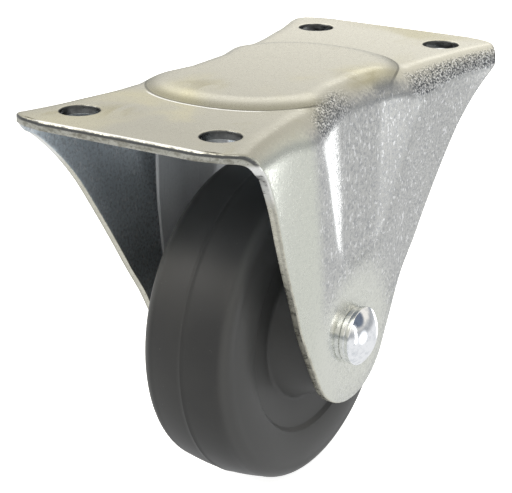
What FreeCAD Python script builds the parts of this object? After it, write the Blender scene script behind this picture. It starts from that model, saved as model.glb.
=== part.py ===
import FreeCAD, Part
import math
import os

from FreeCAD import Vector

os.makedirs("parts", exist_ok=True)

# Fixed castor. X is the rolling direction, Y is the axle, Z is up.
# The origin is the middle of the plate, level with its flat bolting ends.
# All sizes are in millimetres.

# Pressed sheet
sheet_thickness = 2.0
plate_length = 118.0
plate_corner_radius = 12.7
plate_corner_width = 63.4

# Bolt holes in the plate
hole_end_margin = 11.375
hole_spacing_y = 34.925
bolt_hole_diameter = 8.5
bolt_hole_rim = 0.35

# Raised saddle across the middle of the plate
saddle_height = 1.5
saddle_reach = 31.5
saddle_end_length = 23.5
saddle_end_half_width = 23.0
saddle_end_power = 2.3
saddle_wall_width = 6.0
saddle_foot_share = 0.25

# Bends from the plate into the legs, inside radii
end_bend_radius = 3.5
saddle_bend_radius = 5.2
bend_change_start = 24.0
bend_change_end = 41.0

# Legs: a parallel pad round the axle, a step out of it, then a lean outwards up to the plate
axle_drop = 57.85
pad_height = 7.85
pad_blend = 2.5
pad_set_in = 0.4
pad_step_height = 9.0
lean_angle = 5.6
flare_start = 28.0
flare_radius = 72.0

# Recessed panel in each leg, with a round foot
panel_spread = 20.3
panel_half_width = 13.5
panel_foot_drop = 32.0
panel_mouth_half_width = 21.5
panel_mouth_start = 17.0
panel_mouth_end = 5.0
panel_wall_slope = 0.7
panel_floor_blend = 2.0
panel_rim_blend = 1.8

# Outline of the legs, seen from the side
leg_tip_radius = 16.3
leg_edge_angle = 28.4
leg_flare_drop = 21.0
leg_flare_radius = 60.0
leg_root_radius = 10.8
leg_root_gap = 0.3

# Wheel
wheel_diameter = 76.2
wheel_width = 24.0
tread_crown = 1.1
shoulder_radius = 3.2
shoulder_inset = 0.4
parting_line_height = 0.15
parting_line_width = 0.6
side_ring_radius = 25.6
side_ring_inset = 0.6
side_ring_depth = 0.9
web_ring_slope = 0.8
hub_base_radius = 17.8
hub_end_radius = 13.2
hub_length = 39.2
hub_edge_radius = 1.2

# Axle parts
rivet_diameter = 7.94
rivet_head_diameter = 13.7
rivet_head_height = 3.8
rivet_head_rim = 1.1
set_end_diameter = 12.4
set_end_height = 2.8
washer_diameter = 13.2
washer_thickness = 1.3
sleeve_diameter = 11.1
bush_diameter = 14.3
rivet_clearance = 0.08
bush_clearance = 0.06
hub_end_clearance = 0.1

# Worked out from the sizes above
rivet_radius = rivet_diameter / 2.0
rivet_hole_radius = rivet_radius + rivet_clearance
sleeve_half_length = hub_length / 2.0 + hub_end_clearance
pad_face = sleeve_half_length + sheet_thickness
axle_z = -axle_drop
wheel_radius = wheel_diameter / 2.0
half_length = plate_length / 2.0
hole_spacing_x = plate_length - 2.0 * hole_end_margin

# Extra length of sheet and of cutting bodies past the finished outline
trim_allowance = 3.0

# Share of the tread's crown that is lost half way out to the shoulder
crown_middle_share = 0.27

# How the bend's arc is fitted between the plate and the leg
slope_step = 0.05
bend_fitting_steps = 40
bend_fitting_share = 0.4


# A ramp that leaves zero and joins its slope through a rounded corner
def rounded_ramp(value, blend):
    if value <= -blend:
        return 0.0
    if value >= blend:
        return value
    return (value + blend) ** 2 / (4.0 * blend)


# The smaller of two heights, with the corner between them rounded
def rounded_minimum(first, second, blend):
    overlap = max(blend - abs(first - second), 0.0)
    return min(first, second) - overlap ** 2 / (4.0 * blend)


# A step from zero to one with level ends
def smooth_step(share):
    share = min(max(share, 0.0), 1.0)
    return share * share * (3.0 - 2.0 * share)


# Height of the plate's top face: level ends and a saddle with rounded ends
def plate_top(x, y):
    past_middle = max(abs(x) - (saddle_reach - saddle_end_length), 0.0) / saddle_end_length
    aside = abs(y) / saddle_end_half_width
    from_middle = (past_middle ** saddle_end_power + aside ** saddle_end_power) ** (1.0 / saddle_end_power)
    inside = (1.0 - from_middle) * saddle_end_length
    share = min(max(inside / saddle_wall_width, 0.0), 1.0)
    if share < saddle_foot_share:
        return saddle_height * share ** 2 / saddle_foot_share
    return saddle_height * (1.0 - (1.0 - share) ** 2 / (1.0 - saddle_foot_share))


# Outside of the bend, which is larger across the saddle than at the ends
def bend_outside_radius(x):
    share = smooth_step((bend_change_end - abs(x)) / (bend_change_end - bend_change_start))
    inside = end_bend_radius + (saddle_bend_radius - end_bend_radius) * share
    return inside + sheet_thickness


# Outside face of a leg's flank, as a distance from the middle plane
def flank_face(x, z):
    slope = math.tan(math.radians(lean_angle))
    above_pad = rounded_ramp(z - axle_z - pad_height, pad_blend)
    lean = slope * above_pad + pad_set_in * smooth_step(above_pad / pad_step_height)
    flare = max(abs(x) - flare_start, 0.0) ** 2 / (2.0 * flare_radius)
    return pad_face + lean + flare


# Outside face of the recessed panel and of the wall that rises round it.
# The panel has a round foot and opens out to a wide mouth below the bend.
def panel_face(x, z):
    below_foot = min(z + panel_foot_drop, 0.0)
    into_mouth = (z + panel_mouth_start) / (panel_mouth_start - panel_mouth_end)
    half_width = panel_half_width + (panel_mouth_half_width - panel_half_width) * smooth_step(into_mouth)
    past_floor = math.hypot(x, below_foot) - half_width
    return panel_spread + sheet_thickness + panel_wall_slope * rounded_ramp(past_floor, panel_floor_blend)


def leg_face(x, z):
    return rounded_minimum(flank_face(x, z), panel_face(x, z), panel_rim_blend)


def plate_lean(x, y):
    return math.atan((plate_top(x, y + slope_step) - plate_top(x, y - slope_step)) / (2.0 * slope_step))


def leg_lean(x, z):
    return math.atan((leg_face(x, z + slope_step) - leg_face(x, z - slope_step)) / (2.0 * slope_step))


# Where the section is measured: shares of the way out along the plate to the bend, and
# of the way down the leg from the bend to the pad, closer together at the panel's foot
plate_shares = [0.0, 0.3, 0.55, 0.78, 1.0]
leg_shares = [0.0, 0.08, 0.18, 0.3, 0.44, 0.58, 0.7, 0.79, 0.86, 0.93, 1.0]
bend_steps = 4

# Stations along the plate, close together where the saddle and the panel change
middle_station = 5.5
first_close_station = 10.0
last_close_station = 32.0
close_station_step = 2.2
end_stations = 3


# Heights down one leg where the section is measured, with several on the flat pad
def leg_heights(bend_end):
    pad_middle = axle_z + pad_height
    pad_top = pad_middle + pad_blend
    flat_top = pad_middle - pad_blend
    tip = axle_z - leg_tip_radius - trim_allowance
    heights = [bend_end + share * (pad_top - bend_end) for share in leg_shares]
    return heights + [pad_middle, flat_top, (flat_top + axle_z) / 2.0, axle_z, tip]


def mirrored(points):
    return [Vector(point.x, -point.y, point.z) for point in reversed(points)]


# Outside of the sheet at one station along the plate, from one leg's tip to the other's,
# in five parts: leg, bend, plate, bend, leg. Each bend's arc touches the plate's top and
# the leg's face, and its place is found in small steps.
def section_parts(x):
    radius = bend_outside_radius(x)
    leg_z = -radius
    plate_y = leg_face(x, leg_z) - radius
    for attempt in range(bend_fitting_steps):
        tilt = leg_lean(x, leg_z)
        lean = plate_lean(x, plate_y)
        centre_y = leg_face(x, leg_z) - radius * math.cos(tilt)
        centre_z = plate_top(x, plate_y) - radius * math.cos(lean)
        plate_y += bend_fitting_share * (centre_y - radius * math.sin(lean) - plate_y)
        leg_z += bend_fitting_share * (centre_z - radius * math.sin(tilt) - leg_z)
    plate = []
    for share in plate_shares[:-1]:
        y = share * plate_y
        plate.append(Vector(x, y, plate_top(x, y)))
    bend = []
    turn = math.pi / 2.0 + lean + tilt
    for step in range(bend_steps + 1):
        angle = math.pi / 2.0 + lean - turn * step / bend_steps
        bend.append(Vector(x, centre_y + radius * math.cos(angle), centre_z + radius * math.sin(angle)))
    leg = [bend[-1]]
    for z in leg_heights(leg_z)[1:]:
        leg.append(Vector(x, leg_face(x, z), z))
    plate.append(bend[0])
    return [mirrored(leg), mirrored(bend), mirrored(plate)[:-1] + plate, bend, leg]


def section_stations():
    count = round((last_close_station - first_close_station) / close_station_step)
    stations = [0.0, middle_station]
    stations += [first_close_station + step * close_station_step for step in range(count + 1)]
    end_step = (half_length + trim_allowance - last_close_station) / end_stations
    stations += [last_close_station + step * end_step for step in range(1, end_stations + 1)]
    return [-x for x in reversed(stations[1:])] + stations


def spline_through(points, parameters):
    curve = Part.BSplineCurve()
    curve.interpolate(Points=points, Parameters=parameters)
    return curve


# A smooth skin through rows of points, first along each row and then across the rows
def skin_through(rows, along, across):
    row_curves = [spline_through(row, along) for row in rows]
    row_poles = [curve.getPoles() for curve in row_curves]
    cross_curves = [spline_through(list(column), across) for column in zip(*row_poles)]
    cross_poles = [curve.getPoles() for curve in cross_curves]
    skin = Part.BSplineSurface()
    skin.buildFromPolesMultsKnots(
        [list(row) for row in zip(*cross_poles)],
        cross_curves[0].getMultiplicities(),
        row_curves[0].getMultiplicities(),
        cross_curves[0].getKnots(),
        row_curves[0].getKnots(),
        False,
        False,
        3,
        3,
    )
    return skin


# Running length along one section, used to space the skin evenly
def running_length(points):
    lengths = [0.0]
    for first, second in zip(points, points[1:]):
        lengths.append(lengths[-1] + first.distanceToPoint(second))
    return lengths


# The pressed sheet before trimming: five outside skins that share their edges, the same
# skins set in by the thickness, and narrow walls that close them
def pressed_sheet():
    stations = section_stations()
    sections = [section_parts(x) for x in stations]
    part_rows = [list(rows) for rows in zip(*sections)]
    along = [running_length(rows[len(stations) // 2]) for rows in part_rows]
    outside = [skin_through(rows, lengths, stations) for rows, lengths in zip(part_rows, along)]
    outward = []
    for skin, lengths in zip(outside, along):
        outward.append([[skin.normal(x, length) for length in lengths] for x in stations])
    share_edge_directions(outward)
    faces = []
    for rows, directions, lengths, skin in zip(part_rows, outward, along, outside):
        inside_rows = []
        for points, normals in zip(rows, directions):
            inside_rows.append([point - normal * sheet_thickness for point, normal in zip(points, normals)])
        inside = skin_through(inside_rows, lengths, stations)
        faces += [skin.toShape(), inside.toShape()]
        for end_x in (stations[0], stations[-1]):
            faces.append(wall_between(skin.uIso(end_x), inside.uIso(end_x)))
        if skin is outside[0]:
            faces.append(wall_between(skin.vIso(lengths[0]), inside.vIso(lengths[0])))
        if skin is outside[-1]:
            faces.append(wall_between(skin.vIso(lengths[-1]), inside.vIso(lengths[-1])))
    shell = Part.makeShell(faces)
    shell.sewShape()
    return Part.makeSolid(shell)


def wall_between(first, second):
    return Part.makeRuledSurface(first.toShape(), second.toShape())


# Along an edge that two skins share, both use the bend's direction, so their insides meet too
def share_edge_directions(outward):
    first_leg, first_bend, plate, last_bend, last_leg = outward
    for place in range(len(plate)):
        first_leg[place][-1] = first_bend[place][0]
        plate[place][0] = first_bend[place][-1]
        plate[place][-1] = last_bend[place][0]
        last_leg[place][0] = last_bend[place][-1]


# Seen from above, the plate has straight ends and rounded corners
def plan_outline():
    half_width = plate_corner_width / 2.0
    top = saddle_height + trim_allowance
    height = top + axle_drop + leg_tip_radius + trim_allowance
    corner = Vector(-half_length, -half_width, top - height)
    block = Part.makeBox(plate_length, plate_corner_width, height, corner)
    corners = [edge for edge in block.Edges if edge.BoundBox.ZLength > plate_corner_radius]
    return block.makeFillet(plate_corner_radius, corners)


# Seen from the side, each leg has a round tip and straight edges that sweep out
# and then turn level just below the plate
def side_outline():
    angle = math.radians(leg_edge_angle)
    out = Vector(math.cos(angle), 0.0, -math.sin(angle))
    up = Vector(math.sin(angle), 0.0, math.cos(angle))
    tip_centre = Vector(0.0, 0.0, axle_z)
    tip_tangent = tip_centre + out * leg_tip_radius
    straight = (-leg_flare_drop - tip_tangent.z) / up.z
    sweep_start = tip_tangent + up * straight
    sweep_centre = sweep_start + out * leg_flare_radius
    root_z = -sheet_thickness - leg_root_gap
    root_centre_z = root_z - leg_root_radius
    sweep_to_root = leg_flare_radius - leg_root_radius
    root_angle = math.asin((root_centre_z - sweep_centre.z) / sweep_to_root)
    root_centre = Vector(sweep_centre.x - sweep_to_root * math.cos(root_angle), 0.0, root_centre_z)

    def on_arc(centre, radius, turn):
        return centre + Vector(-math.cos(turn), 0.0, math.sin(turn)) * radius

    sweep_middle = on_arc(sweep_centre, leg_flare_radius, (angle + root_angle) / 2.0)
    root_start = on_arc(root_centre, leg_root_radius, root_angle)
    root_middle = on_arc(root_centre, leg_root_radius, (root_angle + math.pi / 2.0) / 2.0)
    root_end = Vector(root_centre.x, 0.0, root_z)
    past_end = max(half_length, root_end.x) + trim_allowance
    low_corner = Vector(past_end, 0.0, root_z)
    high_corner = Vector(past_end, 0.0, saddle_height + trim_allowance)
    half_edges = [
        Part.LineSegment(high_corner, low_corner).toShape(),
        Part.LineSegment(low_corner, root_end).toShape(),
        Part.Arc(root_end, root_middle, root_start).toShape(),
        Part.Arc(root_start, sweep_middle, sweep_start).toShape(),
        Part.LineSegment(sweep_start, tip_tangent).toShape(),
    ]
    other_half = [edge.mirror(Vector(0.0, 0.0, 0.0), Vector(1.0, 0.0, 0.0)) for edge in reversed(half_edges)]
    tip = tip_centre - Vector(0.0, 0.0, leg_tip_radius)
    far_tangent = Vector(-tip_tangent.x, 0.0, tip_tangent.z)
    far_corner = Vector(-high_corner.x, 0.0, high_corner.z)
    edges = half_edges + [Part.Arc(tip_tangent, tip, far_tangent).toShape()] + other_half
    edges.append(Part.LineSegment(far_corner, high_corner).toShape())
    face = Part.Face(Part.Wire(edges))
    face.translate(Vector(0.0, -plate_corner_width, 0.0))
    return face.extrude(Vector(0.0, 2.0 * plate_corner_width, 0.0))


# A bolt hole with its rim rounded off at the top
def bolt_hole(x, y):
    radius = bolt_hole_diameter / 2.0
    drill = Part.makeCylinder(radius, 4.0 * sheet_thickness, Vector(x, y, -2.0 * sheet_thickness))
    rim = Part.makeCone(
        radius,
        radius + 2.0 * bolt_hole_rim,
        2.0 * bolt_hole_rim,
        Vector(x, y, -bolt_hole_rim),
    )
    return drill.fuse(rim)


def make_horn():
    outline = side_outline().common(plan_outline())
    sheet = pressed_sheet().common(outline)
    holes = []
    for side_x in (-1.0, 1.0):
        for side_y in (-1.0, 1.0):
            holes.append(bolt_hole(side_x * hole_spacing_x / 2.0, side_y * hole_spacing_y / 2.0))
    reach = pad_face + trim_allowance
    start = Vector(0.0, -reach, axle_z)
    holes.append(Part.makeCylinder(rivet_hole_radius, 2.0 * reach, start, Vector(0, 1, 0)))
    return sheet.cut(holes).Solids[0]


# A body turned about the axle from a half section of (radius, y) corners, as a closed outline
def turned_about_axle(edges):
    wire = Part.Wire(Part.__sortEdges__(edges))
    face = Part.Face(wire)
    turned = face.revolve(Vector(0, 0, 0), Vector(0, 1, 0), 360.0)
    turned.translate(Vector(0.0, 0.0, axle_z))
    return turned


def section_point(radius, y):
    return Vector(radius, y, 0.0)


def straight_edges(points):
    corners = [section_point(*point) for point in points]
    return [Part.LineSegment(first, second).toShape() for first, second in zip(corners, corners[1:])]


def turned_ring(inner_radius, outer_radius, start_y, end_y):
    corners = [
        (inner_radius, start_y),
        (outer_radius, start_y),
        (outer_radius, end_y),
        (inner_radius, end_y),
        (inner_radius, start_y),
    ]
    return turned_about_axle(straight_edges(corners))


# Solid rivet: domed head on the -Y leg, set end on the +Y leg
def make_axle_rivet():
    seat = pad_face + washer_thickness
    head_radius = rivet_head_diameter / 2.0
    end_radius = set_end_diameter / 2.0
    dome_rise = rivet_head_height - rivet_head_rim
    dome_sphere = (head_radius ** 2 + dome_rise ** 2) / (2.0 * dome_rise)
    dome_angle = math.asin(head_radius / dome_sphere) / 2.0
    dome_centre = -seat - rivet_head_height + dome_sphere
    end_sphere = (end_radius ** 2 + set_end_height ** 2) / (2.0 * set_end_height)
    end_angle = math.asin(min(end_radius / end_sphere, 1.0)) / 2.0
    end_centre = seat + set_end_height - end_sphere
    dome = Part.Arc(
        section_point(0.0, -seat - rivet_head_height),
        section_point(dome_sphere * math.sin(dome_angle), dome_centre - dome_sphere * math.cos(dome_angle)),
        section_point(head_radius, -seat - rivet_head_rim),
    ).toShape()
    set_end = Part.Arc(
        section_point(end_radius, seat),
        section_point(end_sphere * math.sin(end_angle), end_centre + end_sphere * math.cos(end_angle)),
        section_point(0.0, seat + set_end_height),
    ).toShape()
    edges = [dome]
    edges += straight_edges(
        [
            (head_radius, -seat - rivet_head_rim),
            (head_radius, -seat),
            (rivet_radius, -seat),
            (rivet_radius, seat),
            (end_radius, seat),
        ]
    )
    edges.append(set_end)
    edges += straight_edges([(0.0, seat + set_end_height), (0.0, -seat - rivet_head_height)])
    return turned_about_axle(edges)


def make_washer(side):
    near = side * pad_face
    far = side * (pad_face + washer_thickness)
    return turned_ring(rivet_hole_radius, washer_diameter / 2.0, min(near, far), max(near, far))


def make_axle_sleeve():
    return turned_ring(rivet_hole_radius, sleeve_diameter / 2.0, -sleeve_half_length, sleeve_half_length)


def make_hub_bush():
    bore = sleeve_diameter / 2.0 + bush_clearance
    return turned_ring(bore, bush_diameter / 2.0, -hub_length / 2.0, hub_length / 2.0)


# Half of the wheel's section on the +Y side, from the tread's middle to the hub's end
def wheel_half_outline(side):
    half_width = wheel_width / 2.0
    ring_face = half_width - side_ring_inset
    web_outer = ring_face - side_ring_depth
    web_inner = web_outer - web_ring_slope
    hub_half = hub_length / 2.0
    shoulder_y = half_width - shoulder_radius - shoulder_inset
    tread_edge = wheel_radius - tread_crown
    ridge = parting_line_width / 2.0

    def at(radius, y):
        return section_point(radius, side * y)

    crown_middle = wheel_radius - parting_line_height - tread_crown * crown_middle_share
    shoulder_turn = math.radians(45.0)
    shoulder_centre = (tread_edge - shoulder_radius, shoulder_y)
    shoulder_side = shoulder_y + shoulder_radius
    wall_middle = ((tread_edge - shoulder_radius + side_ring_radius) / 2.0, half_width)
    shoulder_middle = (
        shoulder_centre[0] + shoulder_radius * math.cos(shoulder_turn),
        shoulder_centre[1] + shoulder_radius * math.sin(shoulder_turn),
    )
    shoulder_end = at(shoulder_centre[0], shoulder_side)
    ridge_foot = at(wheel_radius - parting_line_height, ridge)
    edges = [
        Part.LineSegment(at(wheel_radius, 0.0), ridge_foot).toShape(),
        Part.Arc(ridge_foot, at(crown_middle, shoulder_y / 2.0), at(tread_edge, shoulder_y)).toShape(),
        Part.Arc(at(tread_edge, shoulder_y), at(*shoulder_middle), shoulder_end).toShape(),
        Part.Arc(shoulder_end, at(*wall_middle), at(side_ring_radius, ring_face)).toShape(),
    ]
    corners = [
        (side_ring_radius, ring_face),
        (side_ring_radius - side_ring_depth, web_outer),
        (hub_base_radius, web_inner),
        (hub_end_radius, hub_half - hub_edge_radius),
        (hub_end_radius - hub_edge_radius, hub_half),
        (bush_diameter / 2.0, hub_half),
    ]
    points = [at(*corner) for corner in corners]
    edges += [Part.LineSegment(first, second).toShape() for first, second in zip(points, points[1:])]
    return edges


def make_wheel():
    bore = bush_diameter / 2.0
    edges = wheel_half_outline(1.0) + wheel_half_outline(-1.0)
    edges += straight_edges([(bore, -hub_length / 2.0), (bore, hub_length / 2.0)])
    return turned_about_axle(edges)


pieces = {
    "horn": make_horn(),
    "axle_rivet": make_axle_rivet(),
    "head_washer": make_washer(-1.0),
    "end_washer": make_washer(1.0),
    "axle_sleeve": make_axle_sleeve(),
    "wheel": make_wheel(),
    "hub_bush": make_hub_bush(),
}

for name, shape in pieces.items():
    if not shape.isValid():
        raise ValueError(name + " is not a valid solid")
    shape.exportStep("parts/" + name + ".step")
    print(name, round(shape.Volume, 1), len(shape.Solids), len(shape.Faces))
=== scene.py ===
import math

import bmesh
import bpy
import numpy as np
from mathutils import Matrix, Vector


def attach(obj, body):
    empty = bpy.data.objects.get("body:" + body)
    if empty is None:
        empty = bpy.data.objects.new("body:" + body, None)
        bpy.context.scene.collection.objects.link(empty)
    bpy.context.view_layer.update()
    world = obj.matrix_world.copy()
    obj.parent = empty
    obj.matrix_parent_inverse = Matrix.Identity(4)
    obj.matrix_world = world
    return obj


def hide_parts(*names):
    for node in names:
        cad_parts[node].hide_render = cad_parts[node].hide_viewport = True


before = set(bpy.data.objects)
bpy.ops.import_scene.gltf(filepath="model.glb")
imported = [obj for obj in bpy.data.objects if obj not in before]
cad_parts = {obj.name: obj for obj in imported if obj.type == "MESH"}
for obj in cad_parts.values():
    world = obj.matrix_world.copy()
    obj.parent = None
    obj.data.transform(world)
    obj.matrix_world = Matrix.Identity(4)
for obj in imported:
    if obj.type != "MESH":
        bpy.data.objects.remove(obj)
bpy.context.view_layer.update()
scene = bpy.context.scene
metre = 0.001


def linearColour(hexText):
    parts = [int(hexText[i:i + 2], 16) / 255.0 for i in (0, 2, 4)]
    linear = [p / 12.92 if p <= 0.04045 else ((p + 0.055) / 1.055) ** 2.4 for p in parts]
    return (linear[0], linear[1], linear[2], 1.0)


# Adds a node, sets its fields, and gives each input either a value or a link
def addNode(tree, kind, inputs=None, **fields):
    node = tree.nodes.new(kind)
    for name, value in fields.items():
        setattr(node, name, value)
    for key, value in (inputs or {}).items():
        if isinstance(value, bpy.types.NodeSocket):
            tree.links.new(value, node.inputs[key])
        else:
            node.inputs[key].default_value = value
    return node


def newMaterial(name):
    material = bpy.data.materials.new(name)
    material.use_nodes = True
    tree = material.node_tree
    tree.nodes.clear()
    shader = tree.nodes.new("ShaderNodeBsdfPrincipled")
    output = tree.nodes.new("ShaderNodeOutputMaterial")
    tree.links.new(shader.outputs["BSDF"], output.inputs["Surface"])
    return material, tree, shader


def noiseAt(tree, coords, scale, detail=2.0, roughness=0.5, distortion=0.0):
    node = addNode(tree, "ShaderNodeTexNoise", {"Vector": coords, "Scale": scale, "Detail": detail,
                                               "Roughness": roughness, "Distortion": distortion})
    return node.outputs["Fac"]


def mapRange(tree, value, low, high, toLow=0.0, toHigh=1.0, smooth=True):
    node = addNode(tree, "ShaderNodeMapRange", {"Value": value, "From Min": low, "From Max": high,
                                               "To Min": toLow, "To Max": toHigh})
    node.interpolation_type = "SMOOTHSTEP" if smooth else "LINEAR"
    return node.outputs["Result"]


def maths(tree, operation, first, second=0.0):
    return addNode(tree, "ShaderNodeMath", {0: first, 1: second}, operation=operation).outputs[0]


# Multiplies two or more values
def product(tree, first, *others):
    for other in others:
        first = maths(tree, "MULTIPLY", first, other)
    return first


# What is left of 1 beside a share
def rest(tree, share):
    return maths(tree, "SUBTRACT", 1.0, share)


def mixColour(tree, share, first, second):
    return addNode(tree, "ShaderNodeMix", {0: share, 6: first, 7: second}, data_type="RGBA").outputs[2]


# The object's own coordinates, whole and as x, y and z
def objectCoords(tree):
    coords = tree.nodes.new("ShaderNodeTexCoord").outputs["Object"]
    split = addNode(tree, "ShaderNodeSeparateXYZ", {0: coords})
    return coords, split.outputs


def stretched(tree, coords, scale):
    return addNode(tree, "ShaderNodeMapping", {"Vector": coords, "Scale": scale}).outputs[0]


# The pressed horn, in millimetres. The sizes are its solid's, but each recess here is narrower with gentler
# walls, and the saddle's foot is crisper.
horn = {
    "thickness": 2.0,
    "length": 118.0,
    "width": 63.4,
    "cornerRadius": 12.7,
    "holeX": 47.625,
    "holeY": 17.4625,
    "holeRadius": 4.25,
    "holeRim": 0.35,
    "rivetHoleRadius": 4.05,
    "rivetHoleRim": 0.1,
    "saddleHeight": 1.5,
    "saddleReach": 31.5,
    "saddleEndLength": 23.5,
    "saddleEndHalfWidth": 23.0,
    "saddleEndPower": 2.3,
    "saddleWall": 6.0,
    "saddleFoot": 0.06,
    "endBend": 3.5,
    "saddleBend": 5.2,
    "bendChange": (24.0, 41.0),
    "axleZ": -57.85,
    "padFace": 21.7,
    "padHeight": 7.85,
    "padBlend": 2.5,
    "padSetIn": 0.4,
    "padStepHeight": 9.0,
    "leanAngle": 5.6,
    "flareStart": 28.0,
    "flareRadius": 72.0,
    "panelSpread": 20.3,
    "panelHalfWidth": 6.5,
    "panelFootDrop": 32.0,
    "mouthHalfWidth": 7.0,
    "mouthStart": 17.0,
    "mouthEnd": 5.0,
    "panelSlope": 0.24,
    "floorBlend": 1.2,
    "rimBlend": 0.5,
    "tipRadius": 16.3,
    "edgeAngle": 28.4,
    "sweepDrop": 21.0,
    "sweepRadius": 60.0,
    "rootRadius": 10.8,
    "rootGap": 0.3,
    "edgeRound": 0.55,
    "innerEdgeRound": 0.18,
    "edgeGap": 0.75,  # width of the last strip before the rolled edge
    "widestStrip": 4.0,  # times edgeGap, where the edge runs most slanted
    "farFromFoot": -50.0,  # foot distance of all that isn't on the plate
    "holeWallDepth": 0.28,  # sheet depth that the holes' walls are dressed at
    "rows": 120,
    "fineStep": 0.55,
    "coarseStep": 1.1,
    "fineFrom": 9.0,
    "fineTo": 36.0,
    "fineEnd": 9.0,  # from each end of the plate
    "plateSteps": 90,
    "bendSteps": 60,
    "legSteps": 260,
    "pastTip": 3.0,
    "solveTurns": 90,
    "solveShare": 0.2,
    "probe": 0.05,  # distance over which a slope is measured
    "roundSteps": 5,
    "wallSteps": 3,
    "innerRoundSteps": 3,
    "holeTurns": 72,
    "holeClear": 1.1,  # sheet taken away round a hole before it is lined
    "holeReach": 0.6,
    "loopSearch": 3.0,
}


def smoothStep(share):
    share = np.clip(share, 0.0, 1.0)
    return share * share * (3.0 - 2.0 * share)


# The part of a value above zero, with the corner at zero rounded
def roundedRamp(value, blend):
    return np.where(value >= blend, value, np.maximum(value + blend, 0.0) ** 2 / (4.0 * blend))


# How far inside the raised saddle's foot line a point of the plate lies
def insideSaddle(x, y):
    endLength = horn["saddleEndLength"]
    past = np.maximum(abs(x) - (horn["saddleReach"] - endLength), 0.0) / endLength
    aside = np.abs(y) / horn["saddleEndHalfWidth"]
    power = horn["saddleEndPower"]
    return (1.0 - (past ** power + aside ** power) ** (1.0 / power)) * endLength


# Height of the plate's upper face: flat, with a low raised saddle
def plateTop(x, y):
    share = np.clip(insideSaddle(x, y) / horn["saddleWall"], 0.0, 1.0)
    foot = horn["saddleFoot"]
    low = share ** 2 / foot
    high = 1.0 - (1.0 - share) ** 2 / (1.0 - foot)
    return horn["saddleHeight"] * np.where(share < foot, low, high)


# Outside radius of the bend at one station
def bendRadius(x):
    start, end = horn["bendChange"]
    share = smoothStep((end - abs(x)) / (end - start))
    return horn["endBend"] + (horn["saddleBend"] - horn["endBend"]) * share + horn["thickness"]


# Outer face of a leg: a pad at the axle, a step, a lean and a flare, with the recess pressed into it
def legFace(x, z):
    slope = math.tan(math.radians(horn["leanAngle"]))
    abovePad = roundedRamp(z - horn["axleZ"] - horn["padHeight"], horn["padBlend"])
    flank = horn["padFace"] + slope * abovePad
    flank = flank + horn["padSetIn"] * smoothStep(abovePad / horn["padStepHeight"])
    flank = flank + np.maximum(abs(x) - horn["flareStart"], 0.0) ** 2 / (2.0 * horn["flareRadius"])
    intoMouth = smoothStep((z + horn["mouthStart"]) / (horn["mouthStart"] - horn["mouthEnd"]))
    halfWidth = horn["panelHalfWidth"] + (horn["mouthHalfWidth"] - horn["panelHalfWidth"]) * intoMouth
    pastFloor = np.hypot(x, np.minimum(z + horn["panelFootDrop"], 0.0)) - halfWidth
    panel = horn["panelSpread"] + horn["thickness"]
    panel = panel + horn["panelSlope"] * roundedRamp(pastFloor, horn["floorBlend"])
    overlap = np.maximum(horn["rimBlend"] - np.abs(flank - panel), 0.0)
    return np.minimum(flank, panel) - overlap ** 2 / (4.0 * horn["rimBlend"])


# How far out the sheet reaches at one station, seen from above
def planHalfWidth(x):
    corner = horn["cornerRadius"]
    past = max(abs(x) - (horn["length"] / 2.0 - corner), 0.0)
    return horn["width"] / 2.0 - corner + math.sqrt(max(corner ** 2 - past ** 2, 0.0))


# How far down the sheet reaches at one station, seen from the side
def sideFloor(x):
    x = abs(x)
    angle = math.radians(horn["edgeAngle"])
    tip = horn["tipRadius"]
    tangent = (tip * math.cos(angle), horn["axleZ"] - tip * math.sin(angle))
    run = (-horn["sweepDrop"] - tangent[1]) / math.cos(angle)
    sweepStart = (tangent[0] + run * math.sin(angle), tangent[1] + run * math.cos(angle))
    sweep = horn["sweepRadius"]
    centre = (sweepStart[0] + sweep * math.cos(angle), sweepStart[1] - sweep * math.sin(angle))
    root = horn["rootRadius"]
    level = -horn["thickness"] - horn["rootGap"]
    rootAngle = math.asin((level - root - centre[1]) / (sweep - root))
    rootX = centre[0] - (sweep - root) * math.cos(rootAngle)
    rootStart = rootX - root * math.cos(rootAngle)
    if x >= rootX:
        return level
    if x >= rootStart:
        return level - root + math.sqrt(root ** 2 - (x - rootX) ** 2)
    if x >= sweepStart[0]:
        return centre[1] + math.sqrt(sweep ** 2 - (x - centre[0]) ** 2)
    if x >= tangent[0]:
        return tangent[1] + (x - tangent[0]) / math.tan(angle)
    return horn["axleZ"] - math.sqrt(tip ** 2 - x ** 2)


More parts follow.
